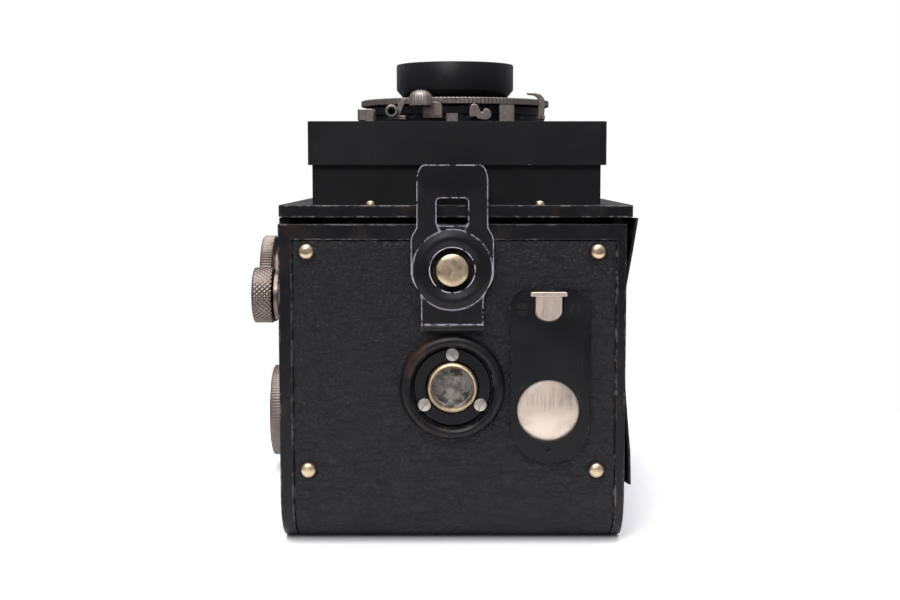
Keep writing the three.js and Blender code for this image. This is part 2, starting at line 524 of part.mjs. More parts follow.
function hoodParts() {
  const { x, y, z, wall } = HOOD;
  const inside = block([wall - x, x - wall], [y[0] + 0.8, y[1] + 1], [z[0] + wall, z[1] - wall]);
  const sight = block([-28.3, 28.3], [y[0] - 1, y[0] + 2], [9.8, 66.2]);
  add("hood_base", cut(block([-x, x], y, z), inside, sight), SATIN);

  const around = (near, far) => [WING_PIVOT.y + near, WING_PIVOT.y + far];
  const leaf = around(-LEAF / 2, LEAF / 2);
  const upright = (shape) =>
    extrude(shape, LEAF).rotateX(Math.PI / 2).translate(0, leaf[1], 0);
  const edge = WING_PIVOT.x;
  const mitre = 0.8; // clearance between neighbouring leaves along the diagonal
  const wingReach = 28.3;
  const wing = (s) =>
    [[0, mitre], [wingReach, wingReach + mitre], [wingReach, 48.6], [13, 58.2], [0, 58.2]]
      .map(([u, v]) => [s * (edge - u), PANEL_PIVOT_Z + v]);
  add("hood_wing_left", upright(outline(wing(-1))), SATIN);
  add("hood_wing_right", upright(outline(wing(1).reverse())), SATIN);
  const reach = 18;
  const rear = [[mitre - edge, 0], [edge - mitre, 0],
    [edge - mitre - reach, reach], [mitre - edge + reach, reach]];
  add("hood_rear_panel", upright(outline(rear.map(([u, v]) => [u, PANEL_PIVOT_Z + v]))), SATIN);

  const shell = block([-32.3, 32.3], [81.5, 87.5], [6, 72]);
  const under = block([-31.4, 31.4], [80, 86.3], [6.7, 74]);
  const hingeSide = block([-34, 34], [80, 86.3], [66, 74]);
  const hingeStrip = block([-24, 24], [LID_HINGE[0] - 0.8, 87], [LID_HINGE[1] - 0.9, LID_HINGE[1] + 0.4]);
  add("hood_lid", join(cut(shell, under, hingeSide), hingeStrip), SATIN);
  add("magnifier_frame", sleeve("Y", [0, 34], [11, 13], [82.8, 86.2]), SATIN);
  add("magnifier_lens", turned("Y", [0, 34], [[0, 83], [10.7, 84.2], [10.7, 85], [0, 86]]), GLASS);
}

bodyParts();
lensParts();
knobParts();
doorParts();
hoodParts();

export default camera;
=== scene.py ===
"""The looks of a twin lens reflex camera that lies on its back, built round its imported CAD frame."""
import json
import math

import bmesh
import bpy
from mathutils import Matrix, Vector


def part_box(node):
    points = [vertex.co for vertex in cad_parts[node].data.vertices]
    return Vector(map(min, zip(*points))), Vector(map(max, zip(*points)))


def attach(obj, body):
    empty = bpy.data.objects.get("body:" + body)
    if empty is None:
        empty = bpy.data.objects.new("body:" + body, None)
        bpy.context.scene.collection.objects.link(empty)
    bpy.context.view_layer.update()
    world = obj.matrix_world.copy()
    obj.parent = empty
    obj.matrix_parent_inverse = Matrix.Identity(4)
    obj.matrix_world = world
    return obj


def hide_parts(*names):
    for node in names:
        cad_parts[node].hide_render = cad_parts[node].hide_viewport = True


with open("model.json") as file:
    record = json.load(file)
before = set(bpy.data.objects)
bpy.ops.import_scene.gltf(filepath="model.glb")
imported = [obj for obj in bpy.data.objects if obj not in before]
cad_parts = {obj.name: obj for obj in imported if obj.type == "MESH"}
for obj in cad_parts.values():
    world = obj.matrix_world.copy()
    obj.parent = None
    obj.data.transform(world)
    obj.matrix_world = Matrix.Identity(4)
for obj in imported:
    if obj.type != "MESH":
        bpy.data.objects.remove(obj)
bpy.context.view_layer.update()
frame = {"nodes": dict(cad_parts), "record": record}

MM = 0.001
FLOOR_RADIUS = 0.2  # small, so that the base does not mirror it
CAMERA_BACK = 0.311  # from the base to the camera
CAMERA_HEIGHT = 0.0854
CAMERA_TILT = 84.6  # degrees from looking straight down
CAMERA_LENS = 56
SUN_STRENGTH = 3.0
SUN_SPREAD = 60  # degrees

# ---- Sizes, in metres, from the frame ----
BASE_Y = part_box("door_shell")[0].y  # outer face of the base
LEATHER_LOW, LEATHER_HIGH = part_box("door_leather")
CORNER_R = 12 * MM


def centre(node):
    low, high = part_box(node)
    return (low + high) / 2


TRIPOD = centre("tripod_ring")
LENS_X = centre("taking_lens_ring").x
BUTTON = centre("latch_button")
WINDOW_X = centre("red_window").x
WINDOW_Z = centre("red_window").z


# ---- Materials ----
class Nodes:
    """A short way to write a material's node tree."""

    def __init__(self, name):
        self.material = bpy.data.materials.new(name)
        self.material.use_nodes = True
        self.tree = self.material.node_tree
        self.shader = self.tree.nodes["Principled BSDF"]
        self.where = self.make("ShaderNodeTexCoord").outputs["Object"]

    def make(self, kind, **settings):
        node = self.tree.nodes.new(kind)
        for key, value in settings.items():
            setattr(node, key, value)
        return node

    def put(self, socket, value):
        if isinstance(value, bpy.types.NodeSocket):
            self.tree.links.new(value, socket)
        elif isinstance(value, (tuple, list)) and len(value) == 3 and len(socket.default_value) == 4:
            socket.default_value = (*value, 1)
        else:
            socket.default_value = value

    def set(self, **inputs):
        for key, value in inputs.items():
            self.put(self.shader.inputs[key.replace("_", " ")], value)

    def stretched(self, scale):
        node = self.make("ShaderNodeMapping")
        self.put(node.inputs["Vector"], self.where)
        node.inputs["Scale"].default_value = scale
        return node.outputs["Vector"]

    def noise(self, scale, detail=4.0, rough=0.6, vector=None, distort=0.0):
        node = self.make("ShaderNodeTexNoise")
        self.put(node.inputs["Vector"], vector or self.where)
        node.inputs["Scale"].default_value = scale
        node.inputs["Detail"].default_value = detail
        node.inputs["Roughness"].default_value = rough
        node.inputs["Distortion"].default_value = distort
        return node.outputs["Fac"]

    def cells(self, scale, vector=None, feature="F1"):
        node = self.make("ShaderNodeTexVoronoi", feature=feature)
        self.put(node.inputs["Vector"], vector or self.where)
        node.inputs["Scale"].default_value = scale
        return node.outputs["Distance"]

    def ramp(self, value, *stops):
        node = self.make("ShaderNodeMapRange", interpolation_type="SMOOTHSTEP")
        low, high, to_low, to_high = stops
        self.put(node.inputs["Value"], value)
        for key, number in zip(("From Min", "From Max", "To Min", "To Max"),
            (low, high, to_low, to_high)):
            node.inputs[key].default_value = number
        return node.outputs["Result"]

    def math(self, operation, a, b):
        node = self.make("ShaderNodeMath", operation=operation, use_clamp=operation != "SUBTRACT")
        self.put(node.inputs[0], a)
        self.put(node.inputs[1], b)
        return node.outputs[0]

    def mix(self, factor, a, b):
        node = self.make("ShaderNodeMix", data_type="RGBA")
        self.put(node.inputs["Factor"], factor)
        self.put(node.inputs["A"], a)
        self.put(node.inputs["B"], b)
        return node.outputs["Result"]

    def edges(self, radius):
        """High where the surface turns sharply."""
        bevel = self.make("ShaderNodeBevel", samples=4)
        bevel.inputs["Radius"].default_value = radius
        flat = self.make("ShaderNodeNewGeometry").outputs["Normal"]
        dot = self.make("ShaderNodeVectorMath", operation="DOT_PRODUCT")
        self.put(dot.inputs[0], bevel.outputs["Normal"])
        self.put(dot.inputs[1], flat)
        return self.ramp(dot.outputs["Value"], 0.90, 0.998, 1.0, 0.0)

    def bump(self, height, strength, distance):
        node = self.make("ShaderNodeBump")
        node.inputs["Strength"].default_value = strength
        node.inputs["Distance"].default_value = distance
        self.put(node.inputs["Height"], height)
        self.put(self.shader.inputs["Normal"], node.outputs["Normal"])


def enamel(name, tint=(0.0030, 0.0030, 0.0036), rough=0.3, wear=0.5, brown=0.0, bare=(0.30, 0.28, 0.28)):
    """Black stove enamel: smudges, dust, fine scratches, and bare metal where edges were rubbed."""
    n = Nodes(name)
    smudge = n.noise(90, 5)
    dust = n.ramp(n.noise(2600, 2), 0.66, 0.74, 0.0, 0.35)
    scratch = n.ramp(n.noise(260, 2, 0.5, n.stretched((9, 1, 0.7)), 0.6), 0.68, 0.72, 0.0, 0.5)
    scratch = n.math("MULTIPLY", scratch, n.ramp(n.noise(60, 2), 0.5, 0.62, 0.0, 1.0))
    chips = n.ramp(n.noise(480, 8, 0.75), 0.60 - 0.12 * wear, 0.66 - 0.12 * wear, 0.0, 1.0)
    patches = n.ramp(n.noise(75, 3, 0.6), 0.54 - 0.18 * wear, 0.64 - 0.16 * wear, 0.0, 1.0)
    rubbed = n.math("MULTIPLY", n.edges(0.5 * MM), n.math("MULTIPLY", chips, patches))
    paint = n.mix(smudge, tint, tuple(2.2 * c for c in tint))
    if brown:
        paint = n.mix(n.ramp(n.noise(140, 4), 0.52, 0.68, 0.0, brown), paint, (0.030, 0.017, 0.010))
    paint = n.mix(dust, paint, (0.035, 0.035, 0.038))
    paint = n.mix(scratch, paint, (0.045, 0.042, 0.045))
    n.set(Base_Color=n.mix(rubbed, paint, bare))
    n.set(Roughness=n.math("ADD", n.ramp(smudge, 0.3, 0.7, rough, rough + 0.18),
        n.math("MULTIPLY", rubbed, 0.2)))
    n.set(Metallic=n.math("MULTIPLY", rubbed, 0.6))
    n.shader.inputs["Specular IOR Level"].default_value = 0.22
    n.bump(n.math("SUBTRACT", n.noise(700, 3), rubbed), 0.12, 0.05 * MM)
    return n.material


def leather(name, brown=0.0):
    """Pebbled black leather with creases running across the grain; its colour carries painted shade,
    darker between the pebbles and in the creases.
    """
    n = Nodes(name)
    pebble = n.cells(1500, feature="SMOOTH_F1")
    crease = n.noise(520, 5, 0.66, n.stretched((0.6, 1.7, 1.7)), 1.2)
    wide = n.noise(60, 3)
    folds = n.ramp(crease, 0.38, 0.52, 0.0, 1.0)
    height = n.math("MULTIPLY", n.ramp(pebble, 0.0, 0.7, 1.0, 0.15), folds)
    # Painted shade: the relief height also sets the colour, so the hollows between pebbles and the
    # creases are painted darker than the pebble tops.
    leather_colour_with_painted_shade = n.mix(height, (0.0022, 0.0020, 0.0028), (0.017, 0.0150, 0.0185))
    leather_colour_with_painted_shade = n.mix(n.ramp(wide, 0.35, 0.7, 0.0, 0.35), leather_colour_with_painted_shade, (0.009, 0.0075, 0.009))
    if brown:
        torn = n.ramp(n.noise(230, 5), 0.45, 0.6, 0.0, 1.0)
        leather_colour_with_painted_shade = n.mix(n.math("MULTIPLY", n.edges(0.6 * MM), torn), leather_colour_with_painted_shade,
            (0.06 * brown, 0.026 * brown, 0.018))
    n.set(Base_Color=leather_colour_with_painted_shade, Roughness=n.ramp(n.noise(200, 3), 0.3, 0.7, 0.42, 0.62))
    n.shader.inputs["Specular IOR Level"].default_value = 0.25
    n.bump(height, 1.0, 0.22 * MM)
    return n.material


def metal(name, tint=(0.56, 0.52, 0.44), rough=0.28, stain=0.5, grain=(1, 1, 1),
    dark=(0.16, 0.135, 0.10)):
    """Old nickel plate: brushed, stained, with dark specks."""
    n = Nodes(name)
    brushed = n.noise(900, 3, 0.6, n.stretched(grain))
    patches = n.ramp(n.noise(190, 6, 0.65), 0.42, 0.72, 0.0, stain)
    specks = n.ramp(n.noise(1500, 3), 0.66, 0.72, 0.0, 0.8 * stain)
    colour = n.mix(brushed, tuple(0.82 * c for c in tint), tint)
    colour = n.mix(patches, colour, tuple(0.5 * (a + b) for a, b in zip(tint, dark)))
    n.set(Base_Color=n.mix(specks, colour, dark))
    n.shader.inputs["Metallic"].default_value = 1.0
    n.set(Roughness=n.math("ADD", n.ramp(brushed, 0.3, 0.7, rough, rough + 0.14),
        n.math("MULTIPLY", patches, 0.3)))
    n.bump(brushed, 0.25, 0.03 * MM)
    return n.material


def corroded(name):
    """The bottom of the tripod socket: pitted grey metal with pale bloom."""
    n = Nodes(name)
    pits = n.noise(900, 6, 0.75)
    bloom = n.ramp(n.noise(350, 5, 0.7), 0.38, 0.62, 0.0, 1.0)
    n.set(Base_Color=n.mix(bloom, (0.09, 0.085, 0.075), (0.42, 0.41, 0.38)))
    n.set(Roughness=n.ramp(pits, 0.3, 0.7, 0.5, 0.8), Metallic=n.ramp(bloom, 0.0, 1.0, 0.9, 0.3))
    n.bump(pits, 0.8, 0.2 * MM)
    return n.material


def clear(name, tint, rough=0.02):
    n = Nodes(name)
    n.set(Base_Color=n.mix(n.ramp(n.noise(300, 3), 0.5, 0.8, 0.0, 0.15), tint,
        tuple(0.8 * c for c in tint)))
    n.set(Roughness=n.ramp(n.noise(700, 4), 0.5, 0.8, rough, rough + 0.06))
    n.shader.inputs["Transmission Weight"].default_value = 0.9
    n.shader.inputs["IOR"].default_value = 1.5
    return n.material


ENAMEL = enamel("black_enamel", rough=0.30, wear=0.35)
WORN = enamel("worn_enamel", rough=0.32, wear=0.9, brown=0.4)
CHIPPED = enamel("chipped_enamel", rough=0.34, wear=1.5, brown=0.3, bare=(0.62, 0.58, 0.66))
RING = enamel("ring_enamel", rough=0.26, wear=0.4, brown=0.75)
SATIN = enamel("black_satin", tint=(0.0040, 0.0040, 0.0045), rough=0.42, wear=0.1)
MATT = enamel("black_matt", tint=(0.004, 0.004, 0.004), rough=0.65, wear=0.05)
LEATHER = leather("leather")
TORN = leather("torn_leather", brown=1.0)
NICKEL = metal("nickel", tint=(0.19, 0.155, 0.135), dark=(0.06, 0.045, 0.035))
SHUTTER = metal("shutter_nickel", tint=(0.30, 0.265, 0.235), rough=0.34, stain=0.8,
    dark=(0.05, 0.035, 0.025))
SLIDE = metal("slide_nickel", tint=(0.74, 0.63, 0.53), rough=0.34, stain=0.4, grain=(3, 1, 0.18))
WARM = metal("warm_nickel", tint=(0.66, 0.52, 0.34), rough=0.26, stain=0.6, dark=(0.07, 0.05, 0.03))
SCREW = metal("screw_nickel", tint=(0.50, 0.47, 0.42), rough=0.28, stain=0.4)
CORRODED = corroded("socket_floor")
GLASS = clear("lens_glass", (0.9, 0.92, 0.95))
RED = clear("red_glass", (0.5, 0.03, 0.02))
SCREEN = clear("ground_glass", (0.85, 0.88, 0.86), 0.5)
MIRROR = metal("silvering", tint=(0.86, 0.88, 0.9), rough=0.02, stain=0.08)


# ---- Mesh making ----
def new_piece(name, bm, material, smooth=40):
    mesh = bpy.data.meshes.new(name)
    bmesh.ops.recalc_face_normals(bm, faces=bm.faces)
    bm.to_mesh(mesh)
    bm.free()
    obj = bpy.data.objects.new(name, mesh)
    bpy.context.scene.collection.objects.link(obj)
    mesh.materials.append(material)
    mesh.shade_smooth()
    mesh.set_sharp_from_angle(angle=math.radians(smooth))
    return obj


def soften(obj, width, segments=2, angle=30):
    """Rounds the piece's sharp edges, as real metal has them."""
    bevel = obj.modifiers.new("round", "BEVEL")
    bevel.width = width
    bevel.segments = segments
    bevel.limit_method = "ANGLE"
    bevel.angle_limit = math.radians(angle)
    bevel.harden_normals = False
    return obj


def settle(obj):
    """Applies the piece's modifiers."""
    depsgraph = bpy.context.evaluated_depsgraph_get()
    mesh = bpy.data.meshes.new_from_object(obj.evaluated_get(depsgraph))
    obj.modifiers.clear()
    obj.data = mesh
    return obj


def carve(obj, *cutters):
    """Cuts shapes out of a piece and throws the cutters away."""
    for cutter in cutters:
        hole = obj.modifiers.new("hole", "BOOLEAN")
        hole.object = cutter
        hole.operation = "DIFFERENCE"
        hole.solver = "EXACT"
        settle(obj)
        bpy.data.objects.remove(cutter)
    obj.data.set_sharp_from_angle(angle=math.radians(35))
    return obj


# A turned piece's own axis is +Z; these turn it to lie along another.
ALONG = {
    "Z": Matrix.Identity(4),
    "OUT": Matrix.Rotation(math.pi / 2, 4, "X"),  # out of the base, towards -Y
    "Y": Matrix.Rotation(-math.pi / 2, 4, "X"),
    "X": Matrix.Rotation(math.pi / 2, 4, "Y"),
    "LEFT": Matrix.Rotation(-math.pi / 2, 4, "Y"),
}


def turned(name, axis, at, profile, material, sides=96, shape=None):
    """A body of revolution: closed profile of (radius, distance along), in millimetres, round a point.
    shape(angle, radius, distance) may return a changed radius, for knurling."""
    bm = bmesh.new()
    rings = []
    for i in range(sides):
        angle = 2 * math.pi * i / sides
        ring = []
        for radius, distance in profile:
            if radius == 0:
                ring.append((0, 0, distance * MM))
                continue
            r = (shape(angle, radius, distance) if shape else radius) * MM
            ring.append((r * math.cos(angle), r * math.sin(angle), distance * MM))
        rings.append([bm.verts.new(p) for p in ring])
    count = len(profile)
    closed = all(r > 0 for r, _ in profile)
    for i in range(sides):
        a, b = rings[i], rings[(i + 1) % sides]
        for k in range(count if closed else count - 1):
            bm.faces.new((a[k], b[k], b[(k + 1) % count], a[(k + 1) % count]))
    bmesh.ops.remove_doubles(bm, verts=bm.verts, dist=1e-7)
    bmesh.ops.dissolve_degenerate(bm, edges=bm.edges, dist=1e-8)
    bm.transform(Matrix.Translation(Vector(at)) @ ALONG[axis])
    return new_piece(name, bm, material)


def cut_sheet(name, outline, material, out, axis="OUT", at=(0, 0, 0)):
    """A flat outline of (across, up) points in millimetres, given a thickness between two heights."""
    bm = bmesh.new()
    bottom = [bm.verts.new((u * MM, v * MM, out[0] * MM)) for u, v in outline]
    top = [bm.verts.new((u * MM, v * MM, out[1] * MM)) for u, v in outline]
    bm.faces.new(bottom[::-1])
    bm.faces.new(top)
    for i in range(len(outline)):
        j = (i + 1) % len(outline)
        bm.faces.new((bottom[i], bottom[j], top[j], top[i]))
    bm.transform(Matrix.Translation(Vector(at)) @ ALONG[axis])
    return new_piece(name, bm, material)


def arc(cx, cy, radius, start, end, steps=10):
    """Points along an arc; angles in degrees."""
    turns = [math.radians(start + (end - start) * i / steps) for i in range(steps + 1)]
    return [(cx + radius * math.cos(a), cy + radius * math.sin(a)) for a in turns]


def rounded(x0, x1, y0, y1, low, high):
    """A rectangle with its lower and upper corners rounded."""
    return [
        *arc(x1 - low, y0 + low, low, -90, 0),
        *arc(x1 - high, y1 - high, high, 0, 90),
        *arc(x0 + high, y1 - high, high, 90, 180),
        *arc(x0 + low, y0 + low, low, 180, 270),
    ]


def joined(name, *objects):
    """Several solids as one piece."""
    bm = bmesh.new()
    materials = []
    for obj in objects:
        start = len(bm.faces)
        if obj.modifiers:
            settle(obj)
        bm.from_mesh(obj.data)
        if obj.data.materials[0] not in materials:
            materials.append(obj.data.materials[0])
        bm.faces.ensure_lookup_table()
        for face in bm.faces[start:]:
            face.material_index = materials.index(obj.data.materials[0])
    for obj in objects:
        bpy.data.objects.remove(obj)
    mesh = bpy.data.meshes.new(name)
    bm.to_mesh(mesh)
    bm.free()
    for material in materials:
        mesh.materials.append(material)
    made = bpy.data.objects.new(name, mesh)
    bpy.context.scene.collection.objects.link(made)
    return made


def place(obj, body, slot, *nodes):
    """The piece rides on a body and may stand for CAD nodes, which it hides; the slot argument is not
    used.
    """
    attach(obj, body)
    if nodes:
        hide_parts(*nodes)
    return obj


def place_on_axis(obj, body, slot, *nodes):
    """A piece drawn about x = 0 that belongs on the lens axes."""
    obj.data.transform(Matrix.Translation((LENS_X, 0, 0)))
    return place(obj, body, slot, *nodes)


def body_of(node):
    bodies = frame["record"]["behaviour"]["bodies"]
    return next(body for body, members in bodies.items() if node in members)


def refined(node, material, slot, width=0.25, name=None):
    """A CAD node's own shape with its edges rounded."""
    source = frame["nodes"][node]
    bm = bmesh.new()
    bm.from_mesh(source.data)
    bmesh.ops.remove_doubles(bm, verts=bm.verts, dist=1e-6)
    bmesh.ops.dissolve_limit(bm, angle_limit=math.radians(1), verts=bm.verts, edges=bm.edges)
    obj = new_piece(name or node + "_finished", bm, material, smooth=25)
    if width:
        soften(obj, width * MM, 2, 28)
    return place(obj, body_of(node), slot, node)


# ---- Door ----
def bent_sheet(name, x_range, depth, top_z, end_y, material, grid, relief=None, step=1.0):
    """The door's bent sheet, from its top edge down the base, round the corner and along the back."""
    outer, inner = depth
    straight = top_z - CORNER_R
    bend = CORNER_R * math.pi / 2
    back = end_y - (BASE_Y + CORNER_R)
    total = straight + bend + back
    rows = max(2, int(total / (step * MM)))
    columns = max(1, int((x_range[1] - x_range[0]) / (grid * MM)))

    def point(s, d):
        if s < straight:
            return (BASE_Y + d, top_z - s)
        if s < straight + bend:
            a = (s - straight) / CORNER_R
            r = CORNER_R - d
            return (BASE_Y + CORNER_R - r * math.cos(a), CORNER_R - r * math.sin(a))
        return (BASE_Y + CORNER_R + s - straight - bend, d)

    bm = bmesh.new()
    front, rear = [], []
    for i in range(rows + 1):
        s = total * i / rows
        for j in range(columns + 1):
            x = x_range[0] + (x_range[1] - x_range[0]) * j / columns
            rim = min(s, total - s, x - x_range[0], x_range[1] - x)
            sink = relief(x, s, rim) if relief else 0
            front.append(bm.verts.new((x, *point(s, outer + sink))))
            rear.append(bm.verts.new((x, *point(s, inner))))
    w = columns + 1
    for i in range(rows):
        for j in range(columns):
            a, b, c, d = i * w + j, i * w + j + 1, (i + 1) * w + j + 1, (i + 1) * w + j
            bm.faces.new([front[k] for k in (a, b, c, d)])
            bm.faces.new([rear[k] for k in (d, c, b, a)])
    border = [j for j in range(w)] + [i * w + columns for i in range(1, rows + 1)]
    border += [rows * w + j for j in range(columns - 1, -1, -1)] + [i * w for i in range(rows - 1, 0, -1)]
    for a, b in zip(border, border[1:] + border[:1]):
        bm.faces.new((front[a], rear[a], rear[b], front[b]))
    return new_piece(name, bm, material, 50)


def wrinkle(x, s, rim):
    """Leather relief: rounded rim, soft pebbles and short creases, always inwards."""
    edge = max(0.0, 1 - rim / (0.5 * MM)) ** 2 * 0.22 * MM
    u, v = x / MM, s / MM
    crease = math.sin(1.9 * v + 1.3 * math.sin(0.55 * u) + 0.8 * math.sin(0.21 * u + v))
    crease *= math.sin(0.9 * u + 2.1 * math.sin(0.8 * v))
    return edge + (0.035 + 0.035 * crease) * MM


def make_door():
    refined("door_shell", WORN, "black_enamel", 0.3, "door_shell_enamelled")
    hide = bent_sheet(
        "door_leather_grained", (LEATHER_LOW.x, LEATHER_HIGH.x), (0, 0.45 * MM),
        LEATHER_HIGH.z, LEATHER_HIGH.y, LEATHER, 0.6, wrinkle, 0.6,
    )
    window = turned("cutter", "OUT", (WINDOW_X, BASE_Y, WINDOW_Z), [(0, -3), (6.5, -3), (6.5, 3), (0, 3)],
        LEATHER, 48)
    socket = turned("cutter", "OUT", (0, BASE_Y, TRIPOD.z), [(0, -3), (8.9, -3), (8.9, 3), (0, 3)],
        LEATHER, 48)
    place(carve(hide, window, socket), "door", "leather", "door_leather")

    at = (0, BASE_Y, TRIPOD.z)
    bead = [(9.1, 0.05), (9.1, 1.3), (9.3, 1.75)] + arc(10.4, 1.0, 1.2, 150, 12, 9) + [(11.75, 0.9),
        (11.85, 0.5), (11.85, 0.05)]
    place(turned("tripod_ring_bead", "OUT", at, bead, RING, 128), "door", "black_enamel", "tripod_ring")
    plate = [(5.95, -0.4), (8.7, -0.4), (8.7, 0.3), (8.5, 0.6), (6.1, 0.6), (5.95, 0.45)]
    place(turned("tripod_plate_black", "OUT", at, plate, ENAMEL, 96), "door", "black_enamel",
        "tripod_plate")
    bush = [(0, -4.6), (5.65, -4.6), (5.65, 1.3), (5.5, 1.7), (5.2, 1.9), (4.95, 1.85), (4.55, 1.35),
        (4.5, 1.2)]
    for turn in range(6):
        bush += [(4.5, 1.0 - 0.8 * turn), (4.38, 0.8 - 0.8 * turn), (4.38, 0.7 - 0.8 * turn),
            (4.5, 0.5 - 0.8 * turn)]
    bush += [(4.5, -3.7), (4.2, -3.9), (3.2, -3.8), (1.2, -3.75), (0, -3.85)]
    ring = turned("tripod_bush_nickel", "OUT", at, bush, WARM, 96)
    ring.data.materials.append(CORRODED)
    for face in ring.data.polygons:
        reach = math.hypot(face.center.x, face.center.z - TRIPOD.z)
        if reach < 4.46 * MM and face.center.y > BASE_Y - 1.2 * MM:
            face.material_index = 1
    place(ring, "door", "warm_nickel", "tripod_bush")
    for index, (angle, slot) in enumerate(((90, -52), (212, 58), (328, 70))):
        x, z = 7.4 * math.cos(math.radians(angle)), 7.4 * math.sin(math.radians(angle))
        screw(f"tripod_screw_{index + 1}", (x * MM, BASE_Y - 0.6 * MM, TRIPOD.z + z * MM), 1.5, slot,
            SCREW, "door")
    for node in ("foot_upper_left", "foot_upper_right", "foot_lower_left", "foot_lower_right"):
        make_foot(node)
    make_window()
    refined("pressure_plate", SATIN, "black_satin", 0.3)


def screw(name, at, radius, slot_angle, material, body, height=0.55, slot="nickel"):
    """A slotted, slightly domed screw head."""
    r = radius
    dome = [(0, -0.3), (r, -0.3), (r, height * 0.5), (0.93 * r, height * 0.8), (0.6 * r, height),
        (0, height * 1.08)]
    head = turned(name, "OUT", at, dome, material, 40)
    tool = cut_sheet("cutter", [(-r - 1, -0.17), (r + 1, -0.17), (r + 1, 0.17), (-r - 1, 0.17)], material,
        (height * 0.35, 2))
    tool.data.transform(Matrix.Translation(Vector(at)) @ Matrix.Rotation(math.radians(-slot_angle), 4,
        "Y"))
    place(carve(head, tool), body, slot)


def make_foot(node):
    """A domed stud, worn flat at its tip, in a dark ring."""
    middle = centre(node)
    dome = [(0, 0.05), (1.78, 0.05), (1.78, 0.35), (1.66, 0.78), (1.4, 1.12), (1.0, 1.38), (0.55, 1.47),
        (0, 1.48)]
    stud = turned(node + "_stud", "OUT", (middle.x, BASE_Y, middle.z), dome, WARM, 40)
    place(stud, "door", "warm_nickel", node)
    collar = [(1.82, 0.0), (2.15, 0.0), (2.15, 0.12), (1.95, 0.2), (1.82, 0.12)]
    place(turned(node + "_collar", "OUT", (middle.x, BASE_Y, middle.z), collar, MATT, 40), "door",
        "black_enamel")


def make_window():
    low, high = (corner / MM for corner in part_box("window_plate"))
    x, z = WINDOW_X / MM, WINDOW_Z / MM
    plate = cut_sheet("window_plate_black", rounded(low.x, high.x, low.z, high.z, 8.1, 3), ENAMEL,
        (0.05, 1.2), at=(0, BASE_Y, 0))
    channel = cut_sheet("cutter", rounded(x - 7.9, x + 7.9, z - 7.9, z + 21.4, 7.6, 7.6), ENAMEL,
        (-1, 0.6), at=(0, BASE_Y, 0))
    way = cut_sheet("cutter", [(x - 3.3, 50), (x + 3.3, 50), (x + 3.3, 60), (x - 3.3, 60)], ENAMEL,
        (-1, 0.6), at=(0, BASE_Y, 0))
    notch = cut_sheet("cutter", rounded(x - 3.3, x + 3.3, 51.2, 64, 3, 1), ENAMEL, (-1, 3),
        at=(0, BASE_Y, 0))
    round_hole = turned("cutter", "OUT", (WINDOW_X, BASE_Y, WINDOW_Z), [(0, -2), (7, -2), (7, 3), (0, 3)],
        ENAMEL, 96)
    dish = turned("cutter", "OUT", (WINDOW_X, BASE_Y, WINDOW_Z + 0.6 * MM),
        [(0, 0.9), (7.2, 0.9), (7.9, 1.6), (0, 1.6)], ENAMEL, 96)
    mark = turned("cutter", "OUT", (WINDOW_X, BASE_Y, WINDOW_Z - 8.6 * MM),
        [(0, 0.8), (0.5, 0.8), (0.9, 1.6), (0, 1.6)], ENAMEL, 3)
    carve(plate, channel, way, notch, dish, round_hole, mark)
    place(soften(plate, 0.12 * MM, 2, 35), "door", "black_enamel", "window_plate")
    place(turned("red_window_glass", "OUT", (WINDOW_X, BASE_Y, WINDOW_Z),
        [(0, -1.9), (5.8, -1.9), (5.8, -1.2), (5.5, -1.1), (0, -1.15)], RED, 64), "door", "red_glass",
        "red_window")

    disc = turned("slide_disc", "OUT", (WINDOW_X, BASE_Y, WINDOW_Z),
        [(0, 0.1), (7.6, 0.1), (7.6, 0.42), (7.45, 0.5), (0, 0.5)], SLIDE, 96)
    strip = cut_sheet("slide_strip", [(x - 3, z + 4), (x + 3, z + 4), (x + 3, 56.9), (x - 3, 56.9)],
        SLIDE, (0.1, 0.48), at=(0, BASE_Y, 0))
    tab = cut_sheet("slide_tab", rounded(x - 2.95, x + 2.95, 51.5, 57.6, 2.7, 0.4), SLIDE, (0.1, 1.35),
        at=(0, BASE_Y, 0))
    ears = cut_sheet("slide_ears", rounded(x - 4.1, x + 4.1, 56.9, 57.9, 0.4, 0.4), SLIDE, (1.25, 1.6),
        at=(0, BASE_Y, 0))
    soften(tab, 0.12 * MM)
    soften(ears, 0.12 * MM)
    rings = [(0, 0.9), (0.5, 0.9), (0.6, 1.15), (0.8, 1.15), (0.9, 0.95), (1.3, 0.95), (1.4, 1.2),
        (1.65, 1.2), (1.75, 0.95),
             (2.15, 0.95), (2.3, 1.1), (2.5, 1.1), (2.55, 0.8), (0, 0.8)]
    thumb = turned("slide_rings", "OUT", (WINDOW_X, BASE_Y, 54.7 * MM), rings, NICKEL, 64)
    slide = joined("window_slide_nickel", disc, strip, tab, ears, thumb)
    place(slide, "window_slide", "nickel", "window_slide")
    for side, angle in ((-1, 0), (1, 90)):
        screw(f"window_screw_{side + 2}", (WINDOW_X + side * 5.9 * MM, BASE_Y - 1.15 * MM, 53.9 * MM),
            1.5, angle, MATT, "door", 0.28, "black_enamel")


